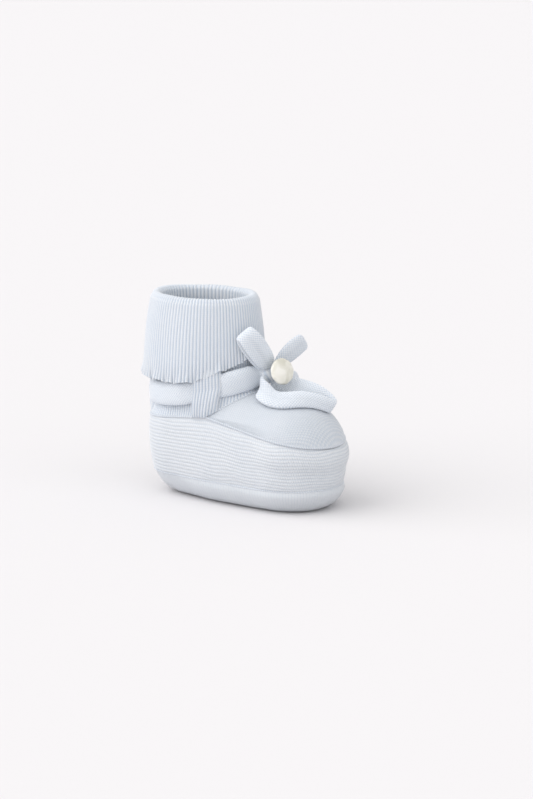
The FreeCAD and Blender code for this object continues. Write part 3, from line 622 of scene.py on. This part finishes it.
# The ribs' hollows take the gap colour, painted shade, and the skirt's back side gets a low fixed mark: more
# painted shade on the cuff's hidden side.
cuff_marks = np.concatenate([0.26 + 0.58 * cuff_relief, np.full(back_side.shape[:2], 0.3)], axis=1)
cuff_knit = knit_material("cuff_rib", CREST, (0.34, 0.44, 0.57), 0.1)
cuff_stitch = (np.linspace(0, CUFF_RIBS, len(angle) + 1), np.linspace(0, 100, cuff_grid.shape[1] + 1))
cuff = knit_mesh("cuff_panel", [(cuff_grid, cuff_stitch, cuff_marks, True, True)], cuff_knit)
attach(cuff, "bootie")
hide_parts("cuff")

# ---------------------------------------------------------------- linked seams
# The panels are linked edge to edge with a chain of the same yarn, which shows as a fine
# raised cord of slanted stitches sunk between the panels.


def cord_mesh(name, path, radius, pitch, material):
    """A yarn along a path: a tube whose radius swells once every pitch with a slant round it."""
    step = np.linalg.norm(np.diff(path, axis=0), axis=-1)
    run = np.concatenate([[0], np.cumsum(step)])
    count = int(run[-1] / pitch * 6)
    t = np.linspace(0, run[-1], count + 1)
    line = np.stack([np.interp(t, run, path[:, i]) for i in range(3)], axis=-1)
    ahead = np.gradient(line, axis=0)
    ahead /= np.linalg.norm(ahead, axis=-1, keepdims=True)
    side = np.cross(ahead, [0, 0, 1.0])
    side /= np.maximum(np.linalg.norm(side, axis=-1, keepdims=True), 1e-6)
    up = np.cross(side, ahead)
    ring = np.linspace(0, 2 * np.pi, 13)[:-1]
    swell = 0.5 + 0.5 * np.cos(2 * np.pi * t[:, None] / pitch + ring[None, :])
    r = radius * (0.8 + 0.35 * swell)
    grid = (line[:, None] + (r * np.cos(ring))[..., None] * side[:, None]
            + (r * np.sin(ring))[..., None] * up[:, None])
    stitch = (t / pitch, np.linspace(0, 2, 13))
    return knit_mesh(name, [(grid, stitch, 0.3 + 0.5 * swell, False, True)], material)


# The linking yarn's crest is painted a little darker than the panels' yarn: painted shade where the cord lies
# sunk between panels; its gap colour is painted shade in the twist.
yarn = knit_material("linking_yarn", (0.68, 0.69, 0.71), (0.38, 0.45, 0.54), 0.0)
s = np.linspace(0, GIRTH, 900)
ex, _ = round_foot(s, 0)
x, y = round_foot(s, heel_to_toe(ex, 2.9, 1.3, 2.5) + 0.25)
sole_seam = cord_mesh("sole_linking", np.stack([x, y, np.full_like(x, SOLE_TOP)], axis=-1), 0.5, 1.1, yarn)
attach(sole_seam, "bootie")
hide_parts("sole_seam")

x, y = round_foot(s, heel_to_toe(ex, 1.4, 1.6, 2.0) + 0.1)
top_line = np.stack([x, y, wall_top(x) + 0.1], axis=-1)
front_part = top_line[x > PEAK_X]
vamp_seam = cord_mesh("vamp_linking", front_part, 0.55, 1.1, yarn)
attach(vamp_seam, "bootie")
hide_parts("vamp_seam")
ys = np.linspace(1, -1, 200) * 21.0
xs = np.maximum(instep_x(ys), PEAK_X)
instep_line = np.stack([xs, ys, vamp_height(xs, ys) + 0.15], axis=-1)
ankle_seam = cord_mesh("ankle_linking", top_line[(x <= PEAK_X) & (y < 0)], 0.5, 1.1, yarn)
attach(ankle_seam, "bootie")
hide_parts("ankle_seam")
ankle_seam_far = cord_mesh("ankle_linking_far", top_line[(x <= PEAK_X) & (y > 0)], 0.5, 1.1, yarn)
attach(ankle_seam_far, "bootie")
instep_seam = cord_mesh("instep_linking", instep_line, 0.45, 1.1, yarn)
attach(instep_seam, "bootie")
z = np.linspace(SOLE_TOP, 35.3, 40)
heel_x = -50 + np.interp(z, [11, 15.4, 20.8, 27.7, 35.3], [2.9, 1.9, 1.1, 0.8, 1.3]) - 0.1
heel_seam = cord_mesh("heel_linking", np.stack([heel_x, 0 * z, z], axis=-1), 0.45, 1.1, yarn)
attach(heel_seam, "bootie")
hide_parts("heel_seam")

# ---------------------------------------------------------------- tie round the ankle
# A flat knitted tape, 11 mm wide and soft enough to puff, threaded under the three bridges.


def soft_line(points, count):
    """A uniform cubic B-spline drawn through the neighbourhood of the points, from the first
    point to the last: each place is the blend of four points by the cubic basis."""
    points = np.asarray(points, float)
    points = points.reshape(len(points), -1)
    held = np.concatenate([points[:1], points[:1], points, points[-1:], points[-1:]])
    place = np.linspace(0, len(held) - 3 - 1e-9, count)
    i = place.astype(int)
    k = (place - i)[:, None]
    return ((1 - k) ** 3 * held[i] + (3 * k ** 3 - 6 * k ** 2 + 4) * held[i + 1]
            + (-3 * k ** 3 + 3 * k ** 2 + 3 * k + 1) * held[i + 2] + k ** 3 * held[i + 3]) / 6


def tape_patch(path, wide, width, thick, bulge=1.0, cells=1.25):
    """A tape along a path: a flattened ring across, width along the wide direction, with the
    seed stitch's staggered bumps on both faces."""
    sizes = np.stack([np.broadcast_to(k, len(path)) for k in (width, thick)], axis=-1)
    rough = soft_line(np.concatenate([path, wide, sizes], axis=1), 1200)
    run = np.concatenate([[0], np.cumsum(np.linalg.norm(np.diff(rough[:, :3], axis=0), axis=-1))])
    count = int(run[-1] / cells * 5)
    t = np.linspace(0, run[-1], count)
    rough = np.stack([np.interp(t, run, rough[:, i]) for i in range(8)], axis=-1)
    line, w, width, thick = rough[:, :3], rough[:, 3:6].copy(), rough[:, 6], rough[:, 7]
    ahead = np.gradient(line, axis=0)
    ahead /= np.linalg.norm(ahead, axis=-1, keepdims=True)
    w -= ahead * (w * ahead).sum(-1, keepdims=True)
    w /= np.linalg.norm(w, axis=-1, keepdims=True)
    face = np.cross(ahead, w)
    ends = np.sqrt(np.clip(1 - (1 - np.clip(np.minimum(t, run[-1] - t) / 1.6, 0, 1)) ** 2, 0.0, 1))
    width, thick = width * (0.55 + 0.45 * ends), thick * (0.02 + 0.98 * ends)
    ring = np.linspace(0, 2 * np.pi, 89)[:-1]
    c, d = np.cos(ring), np.sin(ring)
    across = np.sign(c) * np.abs(c) ** 0.75
    away = np.sign(d) * np.abs(d) ** (0.75 / bulge)
    grid = (line[:, None] + (across[None, :] * width[:, None] / 2)[..., None] * w[:, None]
            + (away[None, :] * thick[:, None] / 2)[..., None] * face[:, None])
    cell_u = t[:, None] / cells
    cell_v = across[None, :] * width[:, None] / 2 / cells
    relief = (0.5 + 0.5 * np.cos(2 * np.pi * cell_u) * np.cos(2 * np.pi * cell_v)) ** 0.8
    bumps = 0.4 * relief * np.abs(d)[None, :] ** 0.5
    grid += bumps[..., None] * outward(grid, False, True) * side_of(grid, line)
    return grid, (t / cells, np.linspace(0, 2 * np.mean(width) / cells, 89)), 0.15 + 0.7 * relief, False, True


def side_of(grid, line):
    """1 where the grid's normals point away from its line, else -1."""
    away = grid - line[:, None]
    return np.sign((outward(grid, False, True) * away).sum(-1).mean())


# The tape's crest is painted lighter than the panels' yarn: painted light on the tie, knot and bow; its gap
# colour is painted shade between the seed-stitch bumps.
tape_knit_lit = knit_material("tie_tape", (0.83, 0.835, 0.85), (0.42, 0.51, 0.62), 0.1)
turn = np.linspace(0.30, 2 * np.pi - 0.30, 240)
under = np.zeros_like(turn)
for middle, half_width in ((2 * np.pi - 1.18, 0.34), (1.18, 0.34), (np.pi, 0.36)):
    under = np.maximum(under, np.clip(1.35 - np.abs(turn - middle) / half_width, 0, 1))
off_waist = 1.9 - 0.6 * under
x, y = oval(turn, WAIST[0], WAIST[1] + off_waist, WAIST[2] + off_waist)
tape_path = np.stack([x, y, tie_level(x)], axis=-1)
to_knot = np.array([(7.6, 2.6, 57.6), (9.6, 1.6, 58.2), (11.4, 1.0, 58.6)])
tape_path = np.concatenate([to_knot[::-1], tape_path, to_knot * [1, -1, 1]])
under = np.concatenate([np.zeros(3), under, np.zeros(3)])
tape_wide = np.concatenate([[6.0, 7.0, 8.5], 11.0 - 1.2 * under[3:-3], [8.5, 7.0, 6.0]])
upright = np.tile([0.0, 0.0, 1.0], (len(tape_path), 1))
ankle_tape = knit_mesh("ankle_tape_band", [
    tape_patch(tape_path, upright, tape_wide, 4.4 - 2.2 * under),
], tape_knit_lit)
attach(ankle_tape, "bootie")
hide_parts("ankle_tape")

# ---------------------------------------------------------------- bow knot
# The tape's turn round itself at the front: a small tight roll behind the button.

KNOT = np.array([12.4, 0.7, 58.7])
BOW_OUT = np.array([0.899, -0.36, 0.25])
BOW_UP = np.array([-0.232, 0.093, 0.968])
BOW_SIDE = np.cross(BOW_UP, BOW_OUT)
u = np.linspace(0, 2 * np.pi, 61)[:-1]
v = np.linspace(0, np.pi, 41)
wrap = 0.5 + 0.5 * np.cos(u[:, None] * 9 + v[None, :] * 3)
r = 1 + 0.04 * wrap
knot_grid = (KNOT + (r * 4.4 * np.cos(v))[..., None] * BOW_UP
             + (r * 4.6 * np.sin(v)[None, :] * np.cos(u)[:, None])[..., None] * BOW_SIDE
             + (r * 3.2 * np.sin(v)[None, :] * np.sin(u)[:, None])[..., None] * BOW_OUT)
knot_stitch = (np.linspace(0, 20, 61), np.linspace(0, 10, 41))
knot = knit_mesh("bow_knot_roll", [(knot_grid, knot_stitch, 0.3 + 0.5 * wrap, True, False)], tape_knit_lit)
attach(knot, "bootie")
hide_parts("bow_knot")

# ---------------------------------------------------------------- bow loops and ends
# One run of tape makes an upright loop, a longer loop lying over the toes, and two ends.

upper_path = np.array([
    (12.7, -1.6, 61.4), (12.9, -2.6, 63.0), (13.0, -4.2, 65.2), (12.0, -7.4, 69.6), (10.9, -10.0, 73.2),
    (9.9, -12.0, 76.0), (8.4, -13.2, 78.0), (6.9, -12.6, 78.4), (6.2, -10.4, 76.4), (7.0, -8.0, 73.2),
    (8.2, -5.6, 69.4), (9.9, -2.6, 64.6), (10.9, -0.8, 61.0), (11.6, 0.0, 59.2)])
upper_wide = np.tile([0.54, 0.56, 0.63], (14, 1))
upper = knit_mesh("upper_loop_tape", [tape_patch(
    upper_path, upper_wide, [4.4, 6.8, 8.8, 9.8, 10.0, 9.6, 8.6, 8.2, 9.2, 10.0, 9.8, 8.6, 6.8, 5.0],
    [1.8, 2.2, 2.6, 2.7, 2.6, 2.5, 2.3, 2.3, 2.4, 2.5, 2.5, 2.3, 2.0, 1.8])], tape_knit_lit)
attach(upper, "upper_loop")
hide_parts("loop_upper")

toe_path = np.array([
    (13.4, -0.2, 55.0), (16.2, 1.8, 54.3), (20.2, 3.3, 53.5), (24.8, 4.2, 52.8), (29.6, 4.8, 51.4),
    (34.6, 5.8, 49.4), (39.0, 7.4, 46.4), (41.4, 7.2, 44.2), (40.8, 4.6, 43.8), (37.4, 0.4, 45.2),
    (32.4, -4.2, 47.4), (28.0, -8.0, 48.4), (23.0, -10.8, 49.4), (18.5, -11.6, 51.0), (15.0, -10.2, 53.2),
    (13.2, -6.8, 55.2), (12.8, -3.2, 56.2)])
toe_wide = np.array([
    (0.0, 0.5, 0.85), (0.05, 0.52, 0.84), (0.1, 0.54, 0.83), (0.15, 0.55, 0.82), (0.2, 0.54, 0.82),
    (0.28, 0.48, 0.83), (0.36, 0.38, 0.85), (0.42, 0.26, 0.87), (0.38, 0.3, 0.87), (0.24, 0.46, 0.85),
    (0.12, 0.6, 0.79), (0.0, 0.67, 0.74), (-0.1, 0.7, 0.7), (-0.15, 0.66, 0.73), (-0.2, 0.58, 0.79),
    (-0.2, 0.5, 0.84), (-0.2, 0.4, 0.88)])
toe_widths = [6.8, 7.8, 8.6, 8.8, 8.8, 8.2, 7.0, 6.0, 6.0, 6.6, 7.2, 7.8, 8.2, 8.6, 8.6, 7.4, 5.2]
toe_thick = [1.8, 2.0, 2.3, 2.4, 2.3, 2.2, 2.1, 2.0, 2.1, 2.4, 2.7, 2.8, 2.8, 2.7, 2.5, 2.2, 1.8]
toe_wide /= np.linalg.norm(toe_wide, axis=-1, keepdims=True)
toe_low = toe_path - toe_wide * (np.array(toe_widths)[:, None] / 2)
toe_path[:, 2] += np.maximum(vamp_height(toe_low[:, 0], toe_low[:, 1]) + 1.3 - toe_low[:, 2], 0)
toe = knit_mesh("toe_loop_tape", [tape_patch(toe_path, toe_wide, toe_widths, toe_thick)], tape_knit_lit)
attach(toe, "toe_loop")
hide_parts("loop_toe")

up_path = np.array([
    (13.6, 3.6, 62.0), (15.0, 6.0, 64.2), (17.0, 9.0, 67.2), (19.4, 12.6, 70.4), (21.2, 15.4, 72.4)])
up_wide = np.tile([-0.25, -0.60, 0.76], (5, 1))
tail_up = knit_mesh("upper_tail_tape", [tape_patch(
    up_path, up_wide, [4.0, 6.8, 8.8, 9.0, 7.8], [1.8, 2.1, 2.1, 2.1, 1.5])], tape_knit_lit)
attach(tail_up, "upper_tail")
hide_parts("tail_up")

far_path = np.array([
    (12.3, 5.3, 56.6), (12.6, 9.0, 55.7), (12.9, 13.0, 55.0), (13.0, 18.0, 53.4), (12.8, 23.4, 51.6)])
far_wide = np.tile([0.45, -0.22, -0.86], (5, 1))
tail_far = knit_mesh("far_tail_tape", [tape_patch(
    far_path, far_wide, [4.0, 7.0, 8.8, 9.0, 7.8], [1.8, 2.1, 2.1, 2.1, 1.5])], tape_knit_lit)
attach(tail_far, "far_tail")
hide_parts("tail_far")

# ---------------------------------------------------------------- pearl button
# A 12 mm button cut from pearl shell, softly domed, with an eye at its back for the thread.

PIVOT = KNOT + BOW_OUT * 2.8
BUTTON_BACK = KNOT + BOW_OUT * 7.7
u = np.linspace(0, 2 * np.pi, 97)[:-1]
profile = np.array([(0.0, 0.0), (3.2, 0.0), (4.9, 0.12), (5.6, 0.6), (5.95, 1.3), (5.85, 1.9),
                    (5.45, 2.35), (4.6, 2.62), (3.2, 2.86), (1.6, 2.97), (0.0, 3.0)])
step = np.arange(len(profile))
fine = np.linspace(0, len(profile) - 1, 61)
radius = np.clip(smooth_through(fine, step, profile[:, 0]), 0, 6)
depth = smooth_through(fine, step, profile[:, 1])
facet = 1 + 0.012 * np.cos(u * 9)[:, None] * np.clip(radius / 6, 0, 1)[None, :]
button_grid = (BUTTON_BACK + (radius[None, :] * facet * np.cos(u)[:, None])[..., None] * BOW_SIDE
               + (radius[None, :] * facet * np.sin(u)[:, None])[..., None] * BOW_UP
               + np.broadcast_to(depth, (96, 61))[..., None] * BOW_OUT)
ring_u = np.linspace(0, 2 * np.pi, 49)[:-1]
ring_v = np.linspace(0, 2 * np.pi, 17)[:-1]
EYE_RADIUS, EYE_WIRE = 1.35, 0.5
eye_at = BUTTON_BACK - BOW_OUT * 1.3
eye_r = EYE_RADIUS + EYE_WIRE * np.cos(ring_v)[None, :]
eye_grid = (eye_at + (eye_r * np.cos(ring_u)[:, None])[..., None] * BOW_OUT
            + (eye_r * np.sin(ring_u)[:, None])[..., None] * BOW_SIDE
            + np.broadcast_to(EYE_WIRE * np.sin(ring_v), (48, 16))[..., None] * BOW_UP)
pearl = bpy.data.materials.new("pearl")
pearl.use_nodes = True
tree = pearl.node_tree
face = tree.nodes["Principled BSDF"]
place = tree.nodes.new("ShaderNodeTexCoord")
cloud = tree.nodes.new("ShaderNodeTexNoise")
cloud.inputs["Scale"].default_value = 170.0
cloud.inputs["Detail"].default_value = 2.0
cloud.inputs["Distortion"].default_value = 0.4
tree.links.new(place.outputs["Object"], cloud.inputs["Vector"])
tone = tree.nodes.new("ShaderNodeValToRGB")
tone.color_ramp.elements[0].position = 0.34
tone.color_ramp.elements[0].color = (0.62, 0.605, 0.52, 1)
tone.color_ramp.elements[1].position = 0.66
tone.color_ramp.elements[1].color = (0.84, 0.825, 0.77, 1)
middle_tone = tone.color_ramp.elements.new(0.5)
middle_tone.color = (0.74, 0.725, 0.65, 1)
tree.links.new(cloud.outputs["Fac"], tone.inputs["Fac"])
tree.links.new(tone.outputs["Color"], face.inputs["Base Color"])
face.inputs["Roughness"].default_value = 0.24
face.inputs["Coat Weight"].default_value = 0.7
face.inputs["Coat Roughness"].default_value = 0.12
face.inputs["IOR"].default_value = 1.55
button = knit_mesh("pearl_button_disc", [
    (button_grid, (np.linspace(0, 1, 97), np.linspace(0, 1, 61)), 0.5, True, False),
    (eye_grid, (np.linspace(0, 1, 49), np.linspace(0, 1, 17)), 0.5, True, True)], pearl)
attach(button, "pearl_button")
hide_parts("button")

# ---------------------------------------------------------------- sewing thread
# The button hangs on a short loop of white thread from a bead of stitches in the knot.

THREAD_LOOP, THREAD_RADIUS, BEAD_RADIUS = 1.3, 0.4, 1.2
thread_at = PIVOT + BOW_OUT * 2.1
loop_r = THREAD_LOOP + THREAD_RADIUS * np.cos(ring_v)[None, :]
thread_grid = (thread_at + (loop_r * np.cos(ring_u)[:, None])[..., None] * BOW_OUT
               + (loop_r * np.sin(ring_u)[:, None])[..., None] * BOW_UP
               + np.broadcast_to(THREAD_RADIUS * np.sin(ring_v), (48, 16))[..., None] * -BOW_SIDE)
bead_v = np.linspace(0, np.pi, 21)
bead_grid = (PIVOT + (BEAD_RADIUS * np.cos(bead_v))[None, :, None] * BOW_UP
             + (BEAD_RADIUS * np.sin(bead_v)[None, :] * np.cos(ring_u)[:, None])[..., None] * BOW_SIDE
             + (BEAD_RADIUS * np.sin(bead_v)[None, :] * np.sin(ring_u)[:, None])[..., None] * BOW_OUT)
white_thread = knit_material("sewing_thread", (0.78, 0.80, 0.83), (0.6, 0.65, 0.7), 0.0)
thread = knit_mesh("button_thread_loop", [
    (thread_grid, (np.linspace(0, 12, 49), np.linspace(0, 2, 17)), 0.6, True, True),
    (bead_grid, (np.linspace(0, 8, 49), np.linspace(0, 4, 21)), 0.6, True, False)], white_thread)
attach(thread, "thread_shank")
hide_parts("button_thread")
